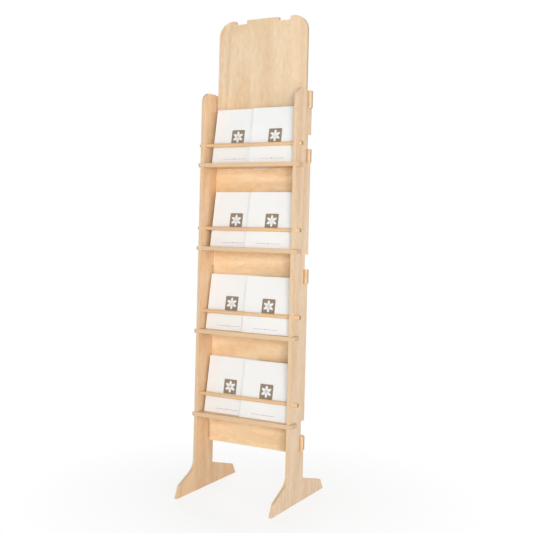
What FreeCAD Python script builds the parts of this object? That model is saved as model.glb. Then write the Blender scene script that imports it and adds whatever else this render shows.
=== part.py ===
import FreeCAD, Part
import math
import os

from FreeCAD import Vector

# Knock-down plywood display stand for printed leaflets, in millimetres.
# X runs along the shelves, Y from front to back and Z up from the floor.
# The origin is on the floor, midway between the sides and midway along the feet.

# Sides
stand_width = 400.0
side_thickness = 12.0
side_height = 1495.0
upright_depth = 120.0
top_corner_radius = 40.0

# Feet, which are cut in one piece with the sides
toe_reach = 118.0
toe_slant = 18.0
toe_tip_height = 43.0
toe_root_height = 90.0
toe_root_radius = 50.0
heel_reach = 180.0
heel_slant = 24.0
heel_tip_height = 40.0
heel_root_height = 82.0
heel_root_radius = 8.0
foot_tip_radius = 4.0
sole_corner_radius = 0.5

# Shelves
level_count = 4
first_shelf_top = 295.5
top_shelf_drop = 266.5
shelf_thickness = 15.0
shelf_tab_depth = 45.0
shelf_tongue_width = 66.0

# Back panels, and the slots in the sides that they hook into
back_thickness = 12.0
back_overhang = 122.0
low_tab_drop = 108.5
middle_tab_rise = 185.5
top_tab_rise = 1.5
back_tab_height = 52.0
entry_height = 54.0
slot_room = 13.0
rear_lip = 12.7

# Header
header_rise = 280.0
header_drop = 155.0
header_tab_height = 66.0
header_corner_radius = 58.0
edge_notch_inner = 69.0
edge_notch_outer = 115.5
edge_notch_depth = 14.5
edge_notch_lip_radius = 6.0
edge_notch_root_radius = 4.0

# Rails
rail_diameter = 14.0
rail_length = 430.0
rail_chamfer = 1.5
rail_setback = 29.0
rail_above_shelf = 68.0
rail_shifts = (4.0, 4.0, -4.0, -4.0)

# Leaflet piles
pile_width = 196.0
pile_height = 206.0
pile_lean = 9.6
front_pile_thickness = 10.0
left_pile_gaps = (9.0, 6.0, 17.0, 16.0)
right_pile_gaps = (12.0, 12.0, 8.0, 2.0)
pile_corner_radius = 0.6

# Shared by every joint between pieces
tab_projection = 10.0
tab_corner_radius = 5.0
tab_root_radius = 0.4
slot_corner_radius = 1.5
fit_clearance = 0.5
seat_clearance = 0.3
tongue_play = 2.5
hole_clearance = 0.6

# Worked out from the sizes above
foot_length = toe_reach + upright_depth + heel_reach
front_y = toe_reach - foot_length / 2
rear_y = front_y + upright_depth
inner_half = stand_width / 2 - side_thickness
panel_half = inner_half - fit_clearance
tab_half = stand_width / 2 + tab_projection
lip_front_y = rear_y - rear_lip
back_rear_y = lip_front_y - seat_clearance
back_front_y = back_rear_y - back_thickness
slot_front_y = back_front_y - slot_room
entry_floor_y = back_front_y - fit_clearance
header_top = side_height + header_rise
joint_height = side_height - header_drop
back_bottom = first_shelf_top - back_overhang
shelf_pitch = (side_height - top_shelf_drop - first_shelf_top) / (level_count - 1)
shelf_tops = [first_shelf_top + shelf_pitch * level for level in range(level_count)]
back_tab_bottoms = (shelf_tops[0] - low_tab_drop, shelf_tops[1] + middle_tab_rise,
                    shelf_tops[-1] + top_tab_rise)


def across_x(a, b, x):
    return Vector(x, a, b)


def across_y(a, b, y):
    return Vector(a, y, b)


def across_z(a, b, z):
    return Vector(a, b, z)


def plate(corners, start, end, place):
    """Sheet cut to an outline of (a, b, corner radius), between two parallel planes."""
    bends = []
    for i, (a, b, radius) in enumerate(corners):
        corner = Vector(a, b, 0)
        behind = Vector(corners[i - 1][0], corners[i - 1][1], 0) - corner
        following = corners[(i + 1) % len(corners)]
        ahead = Vector(following[0], following[1], 0) - corner
        behind.normalize()
        ahead.normalize()
        half_angle = behind.getAngle(ahead) / 2
        reach = radius / math.tan(half_angle)
        inward = behind + ahead
        inward.normalize()
        middle = corner + inward * (radius / math.sin(half_angle) - radius)
        bends.append([corner + behind * reach, middle, corner + ahead * reach])
    edges = []
    for i, bend in enumerate(bends):
        first, middle, last = [place(point.x, point.y, start) for point in bend]
        if corners[i][2] > 0:
            edges.append(Part.Arc(first, middle, last).toShape())
        point = bends[(i + 1) % len(bends)][0]
        following = place(point.x, point.y, start)
        if last.distanceToPoint(following) > 1e-6:
            edges.append(Part.LineSegment(last, following).toShape())
    face = Part.Face(Part.Wire(edges))
    return face.extrude(place(0, 0, end) - place(0, 0, start))


def mirrored(corners):
    """The right half of an outline followed by its mirror image on the left."""
    return corners + [(-a, b, radius) for a, b, radius in reversed(corners)]


def hook_slot(tab_bottom):
    """Outline of a slot that a back panel's tab enters from behind and then drops down."""
    tab_top = tab_bottom + back_tab_height
    entry_top = tab_top + entry_height
    open_y = rear_y + side_thickness
    r = slot_corner_radius
    return [(slot_front_y, tab_bottom, r), (lip_front_y, tab_bottom, 0),
            (lip_front_y, tab_top, r), (open_y, tab_top, 0),
            (open_y, entry_top, 0), (entry_floor_y, entry_top, r),
            (entry_floor_y, tab_top, r), (slot_front_y, tab_top, r)]


def top_slot():
    """Outline of the slot, open at the top, that the header's tab slides down."""
    slot_bottom = side_height - header_tab_height
    open_z = side_height + side_thickness
    r = slot_corner_radius
    return [(slot_front_y, slot_bottom, r), (lip_front_y, slot_bottom, 0),
            (lip_front_y, open_z, 0), (slot_front_y, open_z, 0)]


def shelf_notch(shelf_top):
    """Outline of the notch, open at the front, that holds a shelf's tab."""
    floor = shelf_top - shelf_thickness
    ceiling = shelf_top + fit_clearance
    open_y = front_y - side_thickness
    end_y = front_y + shelf_tab_depth + fit_clearance
    return [(open_y, floor, 0), (end_y, floor, 0), (end_y, ceiling, 0), (open_y, ceiling, 0)]


def rail_hole(shelf_top, start, end):
    """Cylinder that clears a rail, from one X to another."""
    centre = Vector(start, front_y + rail_setback, shelf_top + rail_above_shelf)
    return Part.makeCylinder(rail_diameter / 2 + hole_clearance / 2, end - start, centre, Vector(1, 0, 0))


def side_panel(inner_x, outer_x):
    """Upright and foot in one piece, with its slots, notches and rail holes."""
    toe_y = front_y - toe_reach
    heel_y = rear_y + heel_reach
    outline = [(toe_y, 0, sole_corner_radius),
               (heel_y, 0, sole_corner_radius),
               (heel_y - heel_slant, heel_tip_height, foot_tip_radius),
               (rear_y, heel_root_height, heel_root_radius),
               (rear_y, side_height, slot_corner_radius),
               (front_y, side_height, top_corner_radius),
               (front_y, toe_root_height, toe_root_radius),
               (toe_y + toe_slant, toe_tip_height, foot_tip_radius)]
    start, end = sorted((inner_x, outer_x))
    panel = plate(outline, start, end, across_x)
    cuts = [plate(hook_slot(z), start, end, across_x) for z in back_tab_bottoms]
    cuts.append(plate(top_slot(), start, end, across_x))
    for shelf_top in shelf_tops:
        cuts.append(plate(shelf_notch(shelf_top), start, end, across_x))
        cuts.append(rail_hole(shelf_top, start, end))
    return panel.cut(cuts)


def shelf(shelf_top):
    """Shelf with a tab at each end and a tongue into the back panel."""
    tab_end_y = front_y + shelf_tab_depth
    shelf_rear_y = back_front_y - seat_clearance
    r = slot_corner_radius
    right_half = [(tab_half, front_y, tab_corner_radius), (tab_half, tab_end_y, tab_corner_radius),
                  (panel_half, tab_end_y, tab_root_radius), (panel_half, shelf_rear_y, r),
                  (shelf_tongue_width / 2, shelf_rear_y, r), (shelf_tongue_width / 2, back_rear_y, r)]
    return plate(mirrored(right_half), shelf_top - shelf_thickness, shelf_top, across_z)


def tab(tab_bottom, tab_top):
    """Corners of one tab on the right edge of a back panel, from the bottom up."""
    return [(panel_half, tab_bottom, tab_root_radius), (tab_half, tab_bottom, tab_corner_radius),
            (tab_half, tab_top, tab_corner_radius), (panel_half, tab_top, tab_root_radius)]


def edge_notch(edge_height, gap):
    """Corners of the right-hand notch in a panel's top edge, from its outer lip inwards."""
    floor = edge_height - edge_notch_depth
    outer = edge_notch_outer - gap
    inner = edge_notch_inner + gap
    return [(outer, edge_height, edge_notch_lip_radius), (outer, floor + gap, edge_notch_root_radius),
            (inner, floor + gap, edge_notch_root_radius), (inner, edge_height, edge_notch_lip_radius)]


def lower_back_panel():
    """Back panel behind the shelves, with hooking tabs and a slot for each shelf's tongue."""
    right_half = [(panel_half, back_bottom, slot_corner_radius)]
    for tab_bottom in back_tab_bottoms:
        right_half += tab(tab_bottom, tab_bottom + back_tab_height)
    right_half.append((panel_half, joint_height, slot_corner_radius))
    right_half += edge_notch(joint_height, 0)
    panel = plate(mirrored(right_half), back_front_y, back_rear_y, across_y)
    half = shelf_tongue_width / 2 + tongue_play
    slots = []
    for shelf_top in shelf_tops:
        low = shelf_top - shelf_thickness - tongue_play
        high = shelf_top + tongue_play
        corners = [(half, low, slot_corner_radius), (half, high, slot_corner_radius)]
        slots.append(plate(mirrored(corners), back_front_y, back_rear_y, across_y))
    return panel.cut(slots)


def header_panel():
    """Header that slides down the sides and stands on the lower back panel."""
    edge = joint_height + seat_clearance
    right_half = list(reversed(edge_notch(edge, seat_clearance)))
    right_half.append((panel_half, edge, slot_corner_radius))
    right_half += tab(side_height - header_tab_height, side_height)
    right_half.append((panel_half, header_top, header_corner_radius))
    right_half += edge_notch(header_top, 0)
    return plate(mirrored(right_half), back_front_y, back_rear_y, across_y)


def rail(shelf_top, shift):
    """Round rail with chamfered ends, turned about its own axis."""
    r = rail_diameter / 2
    left = shift - rail_length / 2
    right = shift + rail_length / 2
    profile = [(left, 0), (left, r - rail_chamfer), (left + rail_chamfer, r),
               (right - rail_chamfer, r), (right, r - rail_chamfer), (right, 0), (left, 0)]
    y = front_y + rail_setback
    z = shelf_top + rail_above_shelf
    face = Part.Face(Part.makePolygon([Vector(x, y, z + height) for x, height in profile]))
    return face.revolve(Vector(0, y, z), Vector(1, 0, 0), 360)


def leaflet_pile(front_foot_y, depth, left_x, shelf_top):
    """Pile of leaflets standing on a shelf and leaning back, each sheet level with the next."""
    run = pile_height * math.tan(math.radians(pile_lean))
    pile_top = shelf_top + pile_height
    outline = [(front_foot_y, shelf_top, pile_corner_radius),
               (front_foot_y + depth, shelf_top, pile_corner_radius),
               (front_foot_y + depth + run, pile_top, pile_corner_radius),
               (front_foot_y + run, pile_top, pile_corner_radius)]
    return plate(outline, left_x, left_x + pile_width, across_x)


def leaflet_piles(level):
    """The two piles of one shelf: the right one in front, against the rail."""
    lean = math.radians(pile_lean)
    rail_reach = (rail_diameter / 2 + seat_clearance) / math.cos(lean)
    right_foot_y = front_y + rail_setback + rail_reach - rail_above_shelf * math.tan(lean)
    left_foot_y = right_foot_y + front_pile_thickness + seat_clearance
    left_depth = back_front_y - seat_clearance - left_foot_y - pile_height * math.tan(lean)
    left_x = left_pile_gaps[level] - inner_half
    right_x = inner_half - right_pile_gaps[level] - pile_width
    shelf_top = shelf_tops[level]
    left = leaflet_pile(left_foot_y, left_depth, left_x, shelf_top)
    right = leaflet_pile(right_foot_y, front_pile_thickness, right_x, shelf_top)
    return left, right


def make_parts():
    """Every piece of the stand, by name."""
    parts = {"left_side_panel": side_panel(-inner_half, -stand_width / 2),
             "right_side_panel": side_panel(inner_half, stand_width / 2),
             "lower_back_panel": lower_back_panel(),
             "header_panel": header_panel()}
    for level, shelf_top in enumerate(shelf_tops):
        number = level + 1
        parts[f"shelf_{number}"] = shelf(shelf_top)
        parts[f"rail_{number}"] = rail(shelf_top, rail_shifts[level])
        left, right = leaflet_piles(level)
        parts[f"left_leaflets_{number}"] = left
        parts[f"right_leaflets_{number}"] = right
    return parts


os.makedirs("parts", exist_ok=True)
for name, shape in make_parts().items():
    shape.exportStep(f"parts/{name}.step")
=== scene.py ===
"""Dresses the plywood leaflet stand in birch and paper, and sets its floor, lamps and camera."""

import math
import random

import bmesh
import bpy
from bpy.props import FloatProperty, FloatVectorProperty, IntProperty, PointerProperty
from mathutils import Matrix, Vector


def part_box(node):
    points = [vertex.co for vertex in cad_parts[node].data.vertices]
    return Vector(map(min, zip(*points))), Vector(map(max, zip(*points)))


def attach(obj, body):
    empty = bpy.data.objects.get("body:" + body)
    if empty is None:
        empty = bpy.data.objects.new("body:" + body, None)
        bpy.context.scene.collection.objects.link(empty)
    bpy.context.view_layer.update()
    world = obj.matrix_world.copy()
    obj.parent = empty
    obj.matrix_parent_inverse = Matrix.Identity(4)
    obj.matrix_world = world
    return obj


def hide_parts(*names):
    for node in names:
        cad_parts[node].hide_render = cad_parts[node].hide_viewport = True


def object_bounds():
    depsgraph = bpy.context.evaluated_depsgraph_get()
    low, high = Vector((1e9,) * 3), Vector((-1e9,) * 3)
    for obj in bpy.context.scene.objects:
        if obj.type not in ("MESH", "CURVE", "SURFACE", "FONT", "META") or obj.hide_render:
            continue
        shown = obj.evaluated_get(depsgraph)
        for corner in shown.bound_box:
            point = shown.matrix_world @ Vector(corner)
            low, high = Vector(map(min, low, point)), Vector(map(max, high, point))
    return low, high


bl_info = {
    "name": "Leaflet display stand",
    "version": (1, 0, 0),
    "blender": (4, 5, 0),
    "location": "3D View > Sidebar > Stand",
    "description": "Finishes the boards, rails and leaflets of a plywood display stand",
    "category": "Object",
}

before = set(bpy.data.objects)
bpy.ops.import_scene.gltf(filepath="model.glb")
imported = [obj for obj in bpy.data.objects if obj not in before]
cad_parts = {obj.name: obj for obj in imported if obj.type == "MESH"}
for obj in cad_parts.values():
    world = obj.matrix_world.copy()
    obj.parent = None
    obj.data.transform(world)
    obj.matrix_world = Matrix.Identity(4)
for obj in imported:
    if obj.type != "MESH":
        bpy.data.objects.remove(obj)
cad_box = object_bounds()

LEVELS = range(1, 5)
SIDES = ("left", "right")

# Shares of red, green and blue by which each board's veneer differs from the plain wood colours
# The left side's darker, warmer tone is partly the board's own tone and partly painted shade for its
# inner face, which stands in shade
LEFT_SIDE_TONE_AND_SHADE = (0.96, 0.92, 0.90)
RIGHT_SIDE_TONE = (1.00, 1.03, 1.12)
HEADER_TONE = (1.01, 1.06, 1.11)
LOWER_BACK_TONE = (1.10, 1.12, 1.10)
SHELF_TONE = (0.98, 0.93, 0.86)
RAIL_TONE = (0.97, 0.88, 0.76)

# Half the width between the side panels and over them, where tabs enter and leave their slots; painted
# shade darkens tabs within the slots and at their tips
SLOT_MARGIN = 0.0005
SLOT_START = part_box("right_side_panel")[0].x + SLOT_MARGIN
SLOT_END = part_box("right_side_panel")[1].x + SLOT_MARGIN

# Veneer shows where a board's normal has at least this much of the direction across its plies
FACE_SHARE = 0.6

# How far apart the textures of two boards may be moved, in metres
TEXTURE_SPREAD = 3

# What the solids' meshes are cleaned with before their edges are eased
WELD_DISTANCE = 0.00001
FLAT_ANGLE = math.radians(0.5)
SHARP_ANGLE = math.radians(50)
RAIL_SMOOTH_ANGLE = math.radians(30)

# Leaflets: share of its place in the pile that one fills, and how far it may slip sideways
LEAFLET_FILL = 0.95
LEAFLET_SLIP = 0.0005
# Shares of a leaflet's thickness at its fold and its open side, and of its width within
FOLD_ROUNDING = 0.4
LEAF_MARGIN = 0.3
LEAF_DEPTH = 1 / 30

# Print: height of each layer over what lies under it, in metres
INK_LIFT = 0.00008
# Shares of the printed square's width, and of a petal's length
SQUARE_ROUNDING = 0.07
PETAL_LENGTH = 0.41
PETAL_WIDTH = 0.46
# Shares of the printed rule's length, and of the gap in its middle
RULE_GAP = 0.05
RULE_WEIGHT = 0.012
DIAMOND_RADIUS = 0.6

# Floor: its width, and where the stand's shadow starts to fade and how fast, in metres
FLOOR_WIDTH = 30
FADE_START = 0.3
FADE_RATE = 1.8

# Place and width of each lamp, in metres
LAMPS = {"key": ((2.65, -4.1, 1.2), 2.0), "fill": ((4.0, -0.8, 1.8), 2.2),
         "rear": ((-2.6, 4.1, 2.3), 2.4)}

SENSOR_WIDTH = 36


class WoodSettings(bpy.types.PropertyGroup):
    """Colours and ply of the birch boards and rails."""

    face_colour: FloatVectorProperty(
        name="Face", description="Pale wood of the face veneer", subtype="COLOR",
        size=3, min=0, max=1, default=(0.835, 0.630, 0.415))
    figure_colour: FloatVectorProperty(
        name="Figure", description="Darker wood of the growth figure", subtype="COLOR",
        size=3, min=0, max=1, default=(0.640, 0.375, 0.170))
    end_colour: FloatVectorProperty(
        name="End grain", description="Wood that is cut across the grain", subtype="COLOR",
        size=3, min=0, max=1, default=(0.560, 0.365, 0.205))
    glue_colour: FloatVectorProperty(
        name="Glue line", description="Thin line between two plies", subtype="COLOR",
        size=3, min=0, max=1, default=(0.300, 0.180, 0.095))
    ply: FloatProperty(
        name="Ply", description="Thickness of one ply of the sheet", subtype="DISTANCE",
        unit="LENGTH", min=0.0005, max=0.003, default=0.00135)
    easing: FloatProperty(
        name="Easing", description="Width of the sanded edge of every board", subtype="DISTANCE",
        unit="LENGTH", min=0.0001, max=0.002, default=0.0005)
    rail_rounding: FloatProperty(
        name="Rail rounding", description="Width of the rounded edge at each rail end",
        subtype="DISTANCE", unit="LENGTH", min=0.0002, max=0.004, default=0.0015)


class LeafletSettings(bpy.types.PropertyGroup):
    """Sizes and colours of the folded leaflets."""

    lean: FloatProperty(
        name="Lean", description="How far the leaflets lean back", subtype="ANGLE",
        unit="ROTATION", min=0, max=0.5, default=math.radians(9.6))
    thickness: FloatProperty(
        name="Thickness", description="Thickness of one folded leaflet", subtype="DISTANCE",
        unit="LENGTH", min=0.0003, max=0.004, default=0.0013)
    paper_colour: FloatVectorProperty(
        name="Paper", description="Colour of the coated paper", subtype="COLOR",
        size=3, min=0, max=1, default=(0.895, 0.900, 0.888))
    ink_colour: FloatVectorProperty(
        name="Ink", description="Colour of the printed square", subtype="COLOR",
        size=3, min=0, max=1, default=(0.278, 0.212, 0.148))
    rule_colour: FloatVectorProperty(
        name="Rule", description="Colour of the thin printed rule", subtype="COLOR",
        size=3, min=0, max=1, default=(0.420, 0.405, 0.390))
    square: FloatProperty(
        name="Square", description="Width of the printed square", subtype="DISTANCE",
        unit="LENGTH", min=0.01, max=0.1, default=0.054)
    square_rise: FloatProperty(
        name="Square rise", description="Height of the square's middle over the foot of the leaflet",
        subtype="DISTANCE", unit="LENGTH", min=0.03, max=0.17, default=0.101)
    square_shift: FloatProperty(
        name="Square shift", description="How far the square stands right of the middle",
        subtype="DISTANCE", unit="LENGTH", min=-0.05, max=0.05, default=0.0045)
    rule_length: FloatProperty(
        name="Rule length", description="Length of the printed rule", subtype="DISTANCE",
        unit="LENGTH", min=0.02, max=0.18, default=0.100)
    rule_rise: FloatProperty(
        name="Rule rise", description="Height of the rule over the foot of the leaflet",
        subtype="DISTANCE", unit="LENGTH", min=0.005, max=0.06, default=0.0165)
    petals: IntProperty(
        name="Petals", description="Petals of the flower in the square", min=4, max=12, default=6)


class StageSettings(bpy.types.PropertyGroup):
    """Floor, lamps and camera."""

    camera_place: FloatVectorProperty(
        name="Camera", description="Where the camera stands", subtype="TRANSLATION",
        unit="LENGTH", size=3, default=(1.5520, -2.7950, 0.9799))
    azimuth: FloatProperty(
        name="Azimuth", description="Turn of the camera about the upright axis",
        subtype="ANGLE", unit="ROTATION", default=0.4959)
    elevation: FloatProperty(
        name="Elevation", description="How far the camera looks down", subtype="ANGLE",
        unit="ROTATION", default=-0.0013)
    roll: FloatProperty(
        name="Roll", description="Tilt of the camera about its own axis", subtype="ANGLE",
        unit="ROTATION", default=0.0249)
    lens: FloatProperty(
        name="Lens", description="Focal length on a 36 mm sensor", min=10, max=200, default=57.79)
    shift: FloatProperty(
        name="Shift", description="Upward shift of the frame", min=-0.2, max=0.2, default=-0.0685)
    floor_colour: FloatVectorProperty(
        name="Floor", description="Colour of the floor", subtype="COLOR",
        size=3, min=0, max=1, default=(0.95, 0.95, 0.95))
    shadow: FloatProperty(
        name="Shadow", description="How strongly the floor shows the stand's shadow", min=0, max=1,
        default=0.2)
    sky_level: FloatProperty(
        name="Sky", description="Light from all round", min=0, max=2, default=0.38)
    key_power: FloatProperty(
        name="Key lamp", description="Power of the main lamp, in front on the right", subtype="POWER",
        min=0, max=500, default=152)
    rear_power: FloatProperty(
        name="Rear lamp", description="Power of the lamp behind the stand", subtype="POWER",
        min=0, max=500, default=105)
    fill_power: FloatProperty(
        name="Fill lamp", description="Power of the weaker lamp on the right", subtype="POWER",
        min=0, max=500, default=22)


class Wire:
    """A shader socket that adds Math nodes as it is reckoned with."""

    def __init__(self, graph, socket):
        self.graph = graph
        self.socket = socket

    def math(self, operation, *values):
        return self.graph.add("ShaderNodeMath", {"operation": operation}, values)

    def __add__(self, other):
        return self.math("ADD", self, other)

    __radd__ = __add__

    def __sub__(self, other):
        return self.math("SUBTRACT", self, other)

    def __rsub__(self, other):
        return self.math("SUBTRACT", other, self)

    def __mul__(self, other):
        return self.math("MULTIPLY", self, other)

    __rmul__ = __mul__

    def __gt__(self, other):
        return self.math("GREATER_THAN", self, other)

    def __lt__(self, other):
        return self.math("LESS_THAN", self, other)

    def __abs__(self):
        return self.math("ABSOLUTE", self)

    def sine(self):
        return self.math("SINE", self)

    def fraction(self):
        return self.math("FRACT", self)

    def clamped(self):
        return self.math("MAXIMUM", self.math("MINIMUM", self, 1.0), 0.0)


class Graph:
    """The nodes of one material."""

    def __init__(self, name):
        self.material = bpy.data.materials.new(name)
        self.material.use_nodes = True
        self.tree = self.material.node_tree
        self.tree.nodes.clear()

    def add(self, kind, settings=None, inputs=(), output=0):
        """Adds a node, sets it up, feeds its sockets and returns one of its outputs."""
        node = self.tree.nodes.new(kind)
        for key, value in (settings or {}).items():
            setattr(node, key, value)
        pairs = inputs.items() if isinstance(inputs, dict) else enumerate(inputs)
        for key, value in pairs:
            if isinstance(value, Wire):
                self.tree.links.new(value.socket, node.inputs[key])
            else:
                node.inputs[key].default_value = value
        return Wire(self, node.outputs[output]) if node.outputs else None

    def coordinates(self, output="Object"):
        return self.add("ShaderNodeTexCoord", output=output)

    def placed(self, scale, offset):
        """Object coordinates stretched by a scale and moved by an offset."""
        return self.add("ShaderNodeMapping", {}, {"Vector": self.coordinates(), "Scale": scale,
                                                  "Location": offset})

    def axis(self, vector, name):
        return self.add("ShaderNodeSeparateXYZ", {}, (vector,), output=name)

    def noise(self, vector, scale, detail=2.0, roughness=0.5, distortion=0.0):
        return self.add("ShaderNodeTexNoise", {},
                        {"Vector": vector, "Scale": scale, "Detail": detail,
                         "Roughness": roughness, "Distortion": distortion})

    def mix(self, share, first, second):
        """Colour between two others."""
        return self.add("ShaderNodeMix", {"data_type": "RGBA"},
                        {0: share, 6: first, 7: second}, output=2)

    def finish(self, colour, roughness, height=None, depth=0.0, **fixed):
        """Closes the material with one principled shader."""
        inputs = {"Base Color": colour, "Roughness": roughness}
        for key, value in fixed.items():
            inputs[key.replace("_", " ")] = value
        if height is not None:
            inputs["Normal"] = self.add("ShaderNodeBump", {},
                                        {"Strength": 1.0, "Distance": depth, "Height": height})
        shader = self.add("ShaderNodeBsdfPrincipled", {}, inputs)
        self.add("ShaderNodeOutputMaterial", {}, {"Surface": shader})
        return self.material


def opaque(colour):
    """A colour property as the four numbers that a socket takes."""
    return (*colour, 1.0)


def along(axis, on, off):
    """Three numbers, one of them for the named axis and another for the rest."""
    return tuple(on if letter == axis else off for letter in "XYZ")


def toned(colour, tone):
    """A colour property made darker or warmer by a share for each of red, green and blue."""
    return opaque([value * share for value, share in zip(colour, tone)])


def texture_offset(seed):
    """Where a piece's texture is moved to, so that no two pieces are cut from the same spot."""
    draw = random.Random(seed)
    return tuple(draw.uniform(-TEXTURE_SPREAD, TEXTURE_SPREAD) for _ in range(3))


def veneer(graph, grain, offset, figure):
    """How dark the face veneer is, how high it stands, and its fibres."""
    board = graph.placed(along(grain, 0.13, 1.0), offset)
    streaks = graph.placed(along(grain, 0.02, 1.0), offset)
    lines = graph.placed(along(grain, 0.045, 1.0), offset)
    swell = graph.noise(board, 4.2, detail=2.0, roughness=0.5, distortion=0.35)
    flame = (swell * 75.0).sine() * 0.5 + 0.5
    mottle = graph.noise(graph.placed(along(grain, 0.42, 1.0), offset), 75.0, detail=3.0,
                         distortion=0.6)
    band = graph.noise(board, 26.0, detail=3.0, roughness=0.55)
    fibre = graph.noise(streaks, 420.0, detail=2.0, roughness=0.6)
    pore = graph.noise(lines, 900.0, detail=1.0) > 0.66
    patch = graph.noise(graph.placed((1.0, 1.0, 1.0), offset), 3.0, detail=1.0)
    soft = band * 0.13 + mottle * 0.70 + fibre * 0.22 + patch * 0.20
    depth = (flame * 0.26 + soft - 0.58) * figure + 0.12 + pore * 0.12
    relief = fibre * 0.6 + pore * -0.5 + band * 0.3
    return depth.clamped(), relief, fibre


def ply_edge(graph, across, first_ply, edge_tone, offset, tab_tip_shade):
    """Colour of a cut edge: long and cross plies in turn, glue lines, darker sawn ends, and painted shade
    on the tips of tabs that stand out of their slots.
    """
    wood = bpy.context.scene.stand_wood
    place = graph.axis(graph.coordinates(), across) - first_ply
    count = place * (1.0 / wood.ply)
    cross = (count * 0.5).fraction() > 0.5
    glue = abs(count.fraction() - 0.5) > 0.43
    grit = graph.noise(graph.placed((1.0, 1.0, 1.0), offset), 700.0, detail=2.0)
    edge = (edge_tone, edge_tone * 0.97, edge_tone * 0.93)
    plies = graph.mix(cross * (0.30 + grit * 0.3), toned(wood.face_colour, edge),
                      toned(wood.end_colour, edge))
    sawn = abs(graph.axis(graph.coordinates("Normal"), "X")) > 0.7
    # Glue lines, grit and sawn ends are the wood's own; the darkening of tab tips is painted shade
    glue_grit_and_tip_shade = glue * 0.22 + grit * 0.08 + sawn * 0.06 + tab_tip_shade * 0.13
    return graph.mix(glue_grit_and_tip_shade, plies, opaque(wood.glue_colour))


def birch(name, grain, across, first_ply, tone, edge_tone, figure, seed, slot_shade=0.0):
    """Birch plywood: veneer with a soft flame on its faces and stacked plies on its edges.

    Grain and across name the axes that the fibres run along and that the plies are stacked along.
    Figure is the strength of the flame, and the last argument sets how much painted shade darkens the
    faces of tabs within their slots.
    """
    wood = bpy.context.scene.stand_wood
    graph = Graph(name)
    offset = texture_offset(seed)
    depth, relief, fibre = veneer(graph, grain, offset, figure)
    face = graph.mix(depth, toned(wood.face_colour, tone), toned(wood.figure_colour, tone))
    reach = abs(graph.axis(graph.coordinates(), "X"))
    # Painted shade: cut edges of tab tips beyond the side panels' outer faces are darkened
    tab_tip_shade = reach > SLOT_END
    # Painted shade: tab faces inside the slots, between the side panel's two faces, are darkened towards
    # the end-grain colour
    root = (reach > SLOT_START) * (1 - tab_tip_shade)
    face = graph.mix(root * slot_shade, face, opaque(wood.end_colour))
    cut = abs(graph.axis(graph.coordinates("Normal"), across)) < FACE_SHARE
    colour = graph.mix(cut, face, ply_edge(graph, across, first_ply, edge_tone, offset, tab_tip_shade))
    return graph.finish(colour, 0.46 + fibre * 0.12 + cut * 0.15, relief, 0.00012)


def dowel(name, seed):
    """Turned birch rod with straight fibres, and rings on its sawn ends."""
    wood = bpy.context.scene.stand_wood
    graph = Graph(name)
    offset = texture_offset(seed)
    fibre = graph.noise(graph.placed((0.03, 1.0, 1.0), offset), 380.0, detail=3.0, roughness=0.6)
    band = graph.noise(graph.placed((0.12, 1.0, 1.0), offset), 60.0, detail=2.0)
    pale = toned(wood.face_colour, RAIL_TONE)
    side = graph.mix((fibre * 0.45 + band * 0.5 - 0.25).clamped(), pale, opaque(wood.figure_colour))
    rings = (graph.noise(graph.placed((0.0, 1.0, 1.0), offset), 55.0, detail=1.0) * 90.0).sine()
    end = graph.mix((rings * 0.20 + 0.65 + fibre * 0.2).clamped(), opaque(wood.end_colour),
                    opaque(wood.glue_colour))
    facing = abs(graph.axis(graph.coordinates("Normal"), "X"))
    colour = graph.mix(facing > 0.25, side, end)
    return graph.finish(colour, 0.42 + fibre * 0.15, fibre, 0.0001)


def paper(name, colour, roughness):
    """Coated paper or printed ink, with a faint tooth."""
    graph = Graph(name)
    spot = graph.coordinates()
    tooth = graph.noise(spot, 900.0, detail=2.0)
    cloud = graph.noise(spot, 7.0, detail=2.0)
    shade = opaque([value * 0.93 for value in colour])
    mixed = graph.mix((tooth * 0.3 + cloud * 0.6 - 0.1).clamped(), opaque(colour), shade)
    return graph.finish(mixed, roughness + tooth * 0.1, tooth, 0.00002)


def start_fresh():
    """Leaves nothing selected, so that an operator acts only on what it adds."""
    bpy.ops.object.select_all(action="DESELECT")


def make_active(piece):
    """Selects one piece alone."""
    start_fresh()
    piece.select_set(True)
    bpy.context.view_layer.objects.active = piece


def pick(kind, test):
    """In edit mode, selects just the faces, edges or vertices that pass a test."""
    bpy.ops.mesh.select_all(action="DESELECT")
    bpy.ops.mesh.select_mode(type={"faces": "FACE", "edges": "EDGE", "verts": "VERT"}[kind])
    mesh = bmesh.from_edit_mesh(bpy.context.object.data)
    for item in getattr(mesh, kind):
        item.select = test(item)
    mesh.select_flush_mode()
    bmesh.update_edit_mesh(bpy.context.object.data)


def settle(piece):
    """Puts a piece's place, turn and scale into its mesh."""
    make_active(piece)
    bpy.ops.object.transform_apply(location=True, rotation=True, scale=True)


def stand_for(piece, node):
    """Lets a piece show in the place of a node."""
    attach(piece, "root")
    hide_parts(node)


def apply_all(piece):
    """Turns a piece's modifiers into mesh."""
    make_active(piece)
    for modifier in list(piece.modifiers):
        bpy.ops.object.modifier_apply(modifier=modifier.name)


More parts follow.
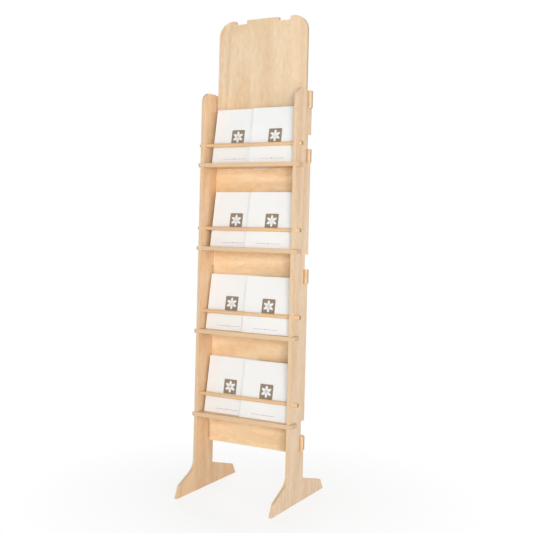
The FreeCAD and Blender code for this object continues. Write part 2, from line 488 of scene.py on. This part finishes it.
def eased_board(node, name, material):
    """A board with its edges sanded round, made from its node's mesh and shown in its place."""
    wood = bpy.context.scene.stand_wood
    piece = bpy.data.objects.new(name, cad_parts[node].data.copy())
    bpy.context.scene.collection.objects.link(piece)
    make_active(piece)
    bpy.ops.object.mode_set(mode="EDIT")
    bpy.ops.mesh.select_all(action="SELECT")
    bpy.ops.mesh.remove_doubles(threshold=WELD_DISTANCE)
    bpy.ops.mesh.dissolve_limited(angle_limit=FLAT_ANGLE)
    bpy.ops.object.mode_set(mode="OBJECT")
    # The easing leaves large faces with notched outlines, which are then cut into triangles.
    bevel = piece.modifiers.new("easing", "BEVEL")
    bevel.width = wood.easing
    bevel.segments = 2
    bevel.limit_method = "ANGLE"
    bevel.angle_limit = SHARP_ANGLE
    bevel.use_clamp_overlap = False
    piece.modifiers.new("plain faces", "TRIANGULATE")
    piece.modifiers.new("flat faces", "WEIGHTED_NORMAL")
    bpy.ops.object.shade_smooth()
    apply_all(piece)
    piece.data.materials.clear()
    piece.data.materials.append(material)
    stand_for(piece, node)
    return piece


class STAND_OT_sides(bpy.types.Operator):
    """Finish the two side panels with their feet"""

    bl_idname = "stand.sides"
    bl_label = "Side panels"

    def execute(self, context):
        for number, (side, tone) in enumerate(zip(SIDES, (LEFT_SIDE_TONE_AND_SHADE, RIGHT_SIDE_TONE))):
            node = f"{side}_side_panel"
            material = birch(f"birch_{side}_side", grain="Z", across="X", first_ply=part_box(node)[0].x,
                             tone=tone, edge_tone=1.0, figure=1.1, seed=20 + number)
            eased_board(node, f"{side}_side", material)
        return {"FINISHED"}


class STAND_OT_backs(bpy.types.Operator):
    """Finish the header and the back panel behind the shelves"""

    bl_idname = "stand.backs"
    bl_label = "Back panels"

    def execute(self, context):
        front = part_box("header_panel")[0].y
        # Both back boards get painted shade on their tab faces within the slots
        header = birch("birch_header", grain="Z", across="Y", first_ply=front,
                       tone=HEADER_TONE, edge_tone=0.8, figure=1.1, seed=31, slot_shade=0.8)
        eased_board("header_panel", "header", header)
        lower = birch("birch_lower_back", grain="X", across="Y", first_ply=front,
                      tone=LOWER_BACK_TONE, edge_tone=0.8, figure=1.25, seed=33, slot_shade=0.8)
        eased_board("lower_back_panel", "lower_back", lower)
        return {"FINISHED"}


class STAND_OT_shelves(bpy.types.Operator):
    """Finish the four shelves"""

    bl_idname = "stand.shelves"
    bl_label = "Shelves"

    def execute(self, context):
        for level in LEVELS:
            node = f"shelf_{level}"
            material = birch(f"birch_shelf_{level}", grain="X", across="Z", first_ply=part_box(node)[0].z,
                             tone=SHELF_TONE, edge_tone=0.97, figure=1.2, seed=40 + level)
            eased_board(node, f"shelf_board_{level}", material)
        return {"FINISHED"}


class STAND_OT_rails(bpy.types.Operator):
    """Turn the four dowel rails"""

    bl_idname = "stand.rails"
    bl_label = "Rails"

    def execute(self, context):
        rounding = context.scene.stand_wood.rail_rounding
        for level in LEVELS:
            node = f"rail_{level}"
            low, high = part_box(node)
            centre = (low + high) / 2
            start_fresh()
            bpy.ops.mesh.primitive_cylinder_add(
                vertices=48, radius=(high.z - low.z) / 2, depth=high.x - low.x,
                location=centre, rotation=(0, math.pi / 2, 0))
            piece = context.object
            piece.name = f"dowel_{level}"
            settle(piece)
            bpy.ops.object.mode_set(mode="EDIT")
            pick("faces", lambda face: abs(face.normal.x) > 0.9)
            bpy.ops.mesh.bevel(offset=rounding, segments=4, affect="EDGES")
            pick("faces", lambda face: abs(face.normal.x) > 0.99)
            bpy.ops.mesh.inset(thickness=rounding)
            bpy.ops.object.mode_set(mode="OBJECT")
            bpy.ops.object.shade_smooth_by_angle(angle=RAIL_SMOOTH_ANGLE)
            piece.data.materials.append(dowel(f"birch_dowel_{level}", 60 + level))
            stand_for(piece, node)
        return {"FINISHED"}


def folded_leaflet(width, thickness, height):
    """One folded leaflet, upright, with its front foot on the X axis: fold left, leaves open right."""
    start_fresh()
    bpy.ops.mesh.primitive_cube_add(size=1, location=(0, thickness / 2, height / 2),
                                    scale=(width, thickness, height))
    piece = bpy.context.object
    settle(piece)
    bpy.ops.object.mode_set(mode="EDIT")
    pick("edges", lambda edge: all(v.co.x < 0 for v in edge.verts)
         and abs(edge.verts[0].co.z - edge.verts[1].co.z) > height / 2)
    bpy.ops.mesh.bevel(offset=thickness * FOLD_ROUNDING, segments=3, affect="EDGES")
    pick("faces", lambda face: face.normal.x > 0.9)
    bpy.ops.mesh.inset(thickness=thickness * LEAF_MARGIN)
    bpy.ops.mesh.extrude_region_move(TRANSFORM_OT_translate={"value": (-width * LEAF_DEPTH, 0, 0)})
    bpy.ops.object.mode_set(mode="OBJECT")
    return piece


def flat_print(piece, material, lift):
    """Turns a flat shape in the XY plane up onto a leaflet's front and gives it its ink."""
    piece.rotation_euler = (math.pi / 2, 0, 0)
    piece.location.y = -lift
    settle(piece)
    piece.data.materials.append(material)
    return piece


def printed_square(leaflets, ink):
    """The rounded square of ink."""
    start_fresh()
    bpy.ops.mesh.primitive_plane_add(size=leaflets.square)
    piece = bpy.context.object
    piece.location = (leaflets.square_shift, 0, leaflets.square_rise)
    bpy.ops.object.mode_set(mode="EDIT")
    bpy.ops.mesh.select_all(action="SELECT")
    bpy.ops.mesh.bevel(offset=leaflets.square * SQUARE_ROUNDING, segments=5, affect="VERTICES")
    bpy.ops.object.mode_set(mode="OBJECT")
    return flat_print(piece, ink, INK_LIFT)


def printed_flower(leaflets, white):
    """The petals that stay white in the square, and meet in its middle."""
    reach = leaflets.square * PETAL_LENGTH
    pieces = []
    for number in range(leaflets.petals):
        start_fresh()
        bpy.ops.mesh.primitive_circle_add(vertices=20, radius=reach / 2, fill_type="NGON")
        petal = bpy.context.object
        petal.scale = (PETAL_WIDTH, 1.0, 1.0)
        petal.location = (0, reach / 2, 0)
        settle(petal)
        petal.rotation_euler.z = 2 * math.pi * number / leaflets.petals
        settle(petal)
        petal.location = (leaflets.square_shift, 0, leaflets.square_rise)
        pieces.append(flat_print(petal, white, 2 * INK_LIFT))
    return pieces


def printed_rule(leaflets, grey):
    """The thin rule near the foot, broken by a small diamond."""
    pieces = []
    gap = leaflets.rule_length * RULE_GAP
    half = leaflets.rule_length / 2
    for sign in (-1, 1):
        start_fresh()
        bpy.ops.mesh.primitive_plane_add(size=1)
        stroke = bpy.context.object
        stroke.scale = (half - gap, leaflets.rule_length * RULE_WEIGHT, 1)
        stroke.location = (sign * (half + gap) / 2, 0, leaflets.rule_rise)
        pieces.append(flat_print(stroke, grey, INK_LIFT))
    start_fresh()
    bpy.ops.mesh.primitive_circle_add(vertices=4, radius=gap * DIAMOND_RADIUS, fill_type="NGON")
    diamond = bpy.context.object
    diamond.location = (0, 0, leaflets.rule_rise)
    pieces.append(flat_print(diamond, grey, INK_LIFT))
    return pieces


class STAND_OT_leaflets(bpy.types.Operator):
    """Pile the folded leaflets on the shelves"""

    bl_idname = "stand.leaflets"
    bl_label = "Leaflets"

    def execute(self, context):
        leaflets = context.scene.stand_leaflets
        white = paper("leaflet_paper", leaflets.paper_colour, 0.5)
        ink = paper("leaflet_ink", leaflets.ink_colour, 0.45)
        grey = paper("leaflet_rule", leaflets.rule_colour, 0.45)
        draw = random.Random(7)
        for level in LEVELS:
            for side in SIDES:
                self.pile(f"{side}_leaflets_{level}", f"{side}_pile_{level}", white, ink, grey, draw)
        return {"FINISHED"}

    def pile(self, node, name, white, ink, grey, draw):
        """As many leaning leaflets as fit in a node's box, the front one printed, in one piece."""
        leaflets = bpy.context.scene.stand_leaflets
        low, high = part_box(node)
        rise = high.z - low.z
        depth = high.y - low.y - rise * math.tan(leaflets.lean)
        count = round(depth / leaflets.thickness)
        pitch = depth / count
        thickness = pitch * math.cos(leaflets.lean) * LEAFLET_FILL
        height = (rise - thickness * math.sin(leaflets.lean)) / math.cos(leaflets.lean)
        middle = (low.x + high.x) / 2
        pieces = []
        for number in range(count):
            piece = folded_leaflet(high.x - low.x - 2 * LEAFLET_SLIP, thickness, height)
            piece.data.materials.append(white)
            if number == 0:
                prints = [printed_square(leaflets, ink), *printed_flower(leaflets, white),
                          *printed_rule(leaflets, grey)]
                make_active(piece)
                for item in prints:
                    item.select_set(True)
                bpy.ops.object.join()
            piece.rotation_euler.x = -leaflets.lean
            slip = draw.uniform(-LEAFLET_SLIP, LEAFLET_SLIP)
            piece.location = (middle + slip, low.y + number * pitch,
                              low.z + thickness * math.sin(leaflets.lean))
            settle(piece)
            pieces.append(piece)
        make_active(pieces[0])
        for piece in pieces:
            piece.select_set(True)
        bpy.ops.object.join()
        pile = bpy.context.object
        pile.name = name
        stand_for(pile, node)


class STAND_OT_stage(bpy.types.Operator):
    """Lay the floor and set the lamps and the camera"""

    bl_idname = "stand.stage"
    bl_label = "Floor, lamps and camera"

    def execute(self, context):
        stage = context.scene.stand_stage
        self.floor(stage)
        self.sky(context, stage)
        middle = (cad_box[0] + cad_box[1]) / 2
        for name, (place, width) in LAMPS.items():
            self.lamp(f"{name}_lamp", place, middle, width, getattr(stage, f"{name}_power"))
        self.camera(context, stage)
        context.scene.view_settings.view_transform = "Standard"
        return {"FINISHED"}

    def floor(self, stage):
        """A floor that looks white, apart from the stand's shadow near its feet."""
        start_fresh()
        bpy.ops.mesh.primitive_plane_add(size=FLOOR_WIDTH)
        floor = bpy.context.object
        floor.name = "floor"
        graph = Graph("floor")
        spot = graph.coordinates()
        away = graph.add("ShaderNodeVectorMath", {"operation": "LENGTH"}, (spot,), output="Value")
        fade = ((away - FADE_START) * FADE_RATE).clamped() * stage.shadow + (1 - stage.shadow)
        seen = graph.add("ShaderNodeLightPath", output="Is Camera Ray")
        glossy = graph.add("ShaderNodeLightPath", output="Is Glossy Ray")
        matt = graph.add("ShaderNodeBsdfDiffuse", {}, {"Color": opaque(stage.floor_colour)})
        white = graph.add("ShaderNodeEmission", {}, {"Color": (1, 1, 1, 1), "Strength": 1.0})
        share = ((seen + glossy).clamped() * fade).clamped()
        surface = graph.add("ShaderNodeMixShader", {}, (share, matt, white))
        graph.add("ShaderNodeOutputMaterial", {}, {"Surface": surface})
        floor.data.materials.append(graph.material)

    def sky(self, context, stage):
        """An even light from all round, before a white backdrop."""
        world = bpy.data.worlds.new("studio")
        world.use_nodes = True
        nodes, links = world.node_tree.nodes, world.node_tree.links
        nodes.clear()
        path = nodes.new("ShaderNodeLightPath")
        seen = nodes.new("ShaderNodeMath")
        seen.operation = "MAXIMUM"
        links.new(path.outputs["Is Camera Ray"], seen.inputs[0])
        links.new(path.outputs["Is Glossy Ray"], seen.inputs[1])
        light = nodes.new("ShaderNodeBackground")
        light.inputs["Strength"].default_value = stage.sky_level
        backdrop = nodes.new("ShaderNodeBackground")
        for shader in (light, backdrop):
            shader.inputs["Color"].default_value = (1, 1, 1, 1)
        mix = nodes.new("ShaderNodeMixShader")
        links.new(seen.outputs[0], mix.inputs[0])
        links.new(light.outputs[0], mix.inputs[1])
        links.new(backdrop.outputs[0], mix.inputs[2])
        output = nodes.new("ShaderNodeOutputWorld")
        links.new(mix.outputs[0], output.inputs["Surface"])
        context.scene.world = world

    def lamp(self, name, place, target, width, power):
        """A square lamp turned towards its target."""
        light = bpy.data.lights.new(name, "AREA")
        light.shape = "SQUARE"
        light.size = width
        light.energy = power
        lamp = bpy.data.objects.new(name, light)
        lamp.location = place
        lamp.rotation_euler = (target - Vector(place)).to_track_quat("-Z", "Y").to_euler()
        bpy.context.scene.collection.objects.link(lamp)

    def camera(self, context, stage):
        """The camera, which first rolls, then tilts and then turns."""
        data = bpy.data.cameras.new("camera")
        data.sensor_width = SENSOR_WIDTH
        data.lens = stage.lens
        data.shift_y = stage.shift
        camera = bpy.data.objects.new("camera", data)
        turn = (Matrix.Rotation(stage.azimuth, 4, "Z")
                @ Matrix.Rotation(math.pi / 2 - stage.elevation, 4, "X")
                @ Matrix.Rotation(stage.roll, 4, "Z"))
        camera.matrix_world = Matrix.Translation(Vector(stage.camera_place)) @ turn
        context.scene.collection.objects.link(camera)
        context.scene.camera = camera


class STAND_PT_panel(bpy.types.Panel):
    """Lists the steps that finish the stand"""

    bl_label = "Leaflet stand"
    bl_space_type = "VIEW_3D"
    bl_region_type = "UI"
    bl_category = "Stand"

    def draw(self, context):
        for operator in OPERATORS:
            self.layout.operator(operator.bl_idname)
        for settings in (context.scene.stand_wood, context.scene.stand_leaflets,
                         context.scene.stand_stage):
            box = self.layout.box()
            for name in settings.__annotations__:
                box.prop(settings, name)


OPERATORS = (STAND_OT_sides, STAND_OT_backs, STAND_OT_shelves, STAND_OT_rails, STAND_OT_leaflets,
             STAND_OT_stage)
SETTINGS = {"stand_wood": WoodSettings, "stand_leaflets": LeafletSettings,
            "stand_stage": StageSettings}


def register():
    for group in (*SETTINGS.values(), *OPERATORS, STAND_PT_panel):
        bpy.utils.register_class(group)
    for name, group in SETTINGS.items():
        setattr(bpy.types.Scene, name, PointerProperty(type=group))


def unregister():
    for name in SETTINGS:
        delattr(bpy.types.Scene, name)
    for group in reversed((*SETTINGS.values(), *OPERATORS, STAND_PT_panel)):
        bpy.utils.unregister_class(group)


def main():
    register()
    bpy.ops.stand.sides()
    bpy.ops.stand.backs()
    bpy.ops.stand.shelves()
    bpy.ops.stand.rails()
    bpy.ops.stand.leaflets()
    bpy.ops.stand.stage()


if __name__ == "__main__":
    main()
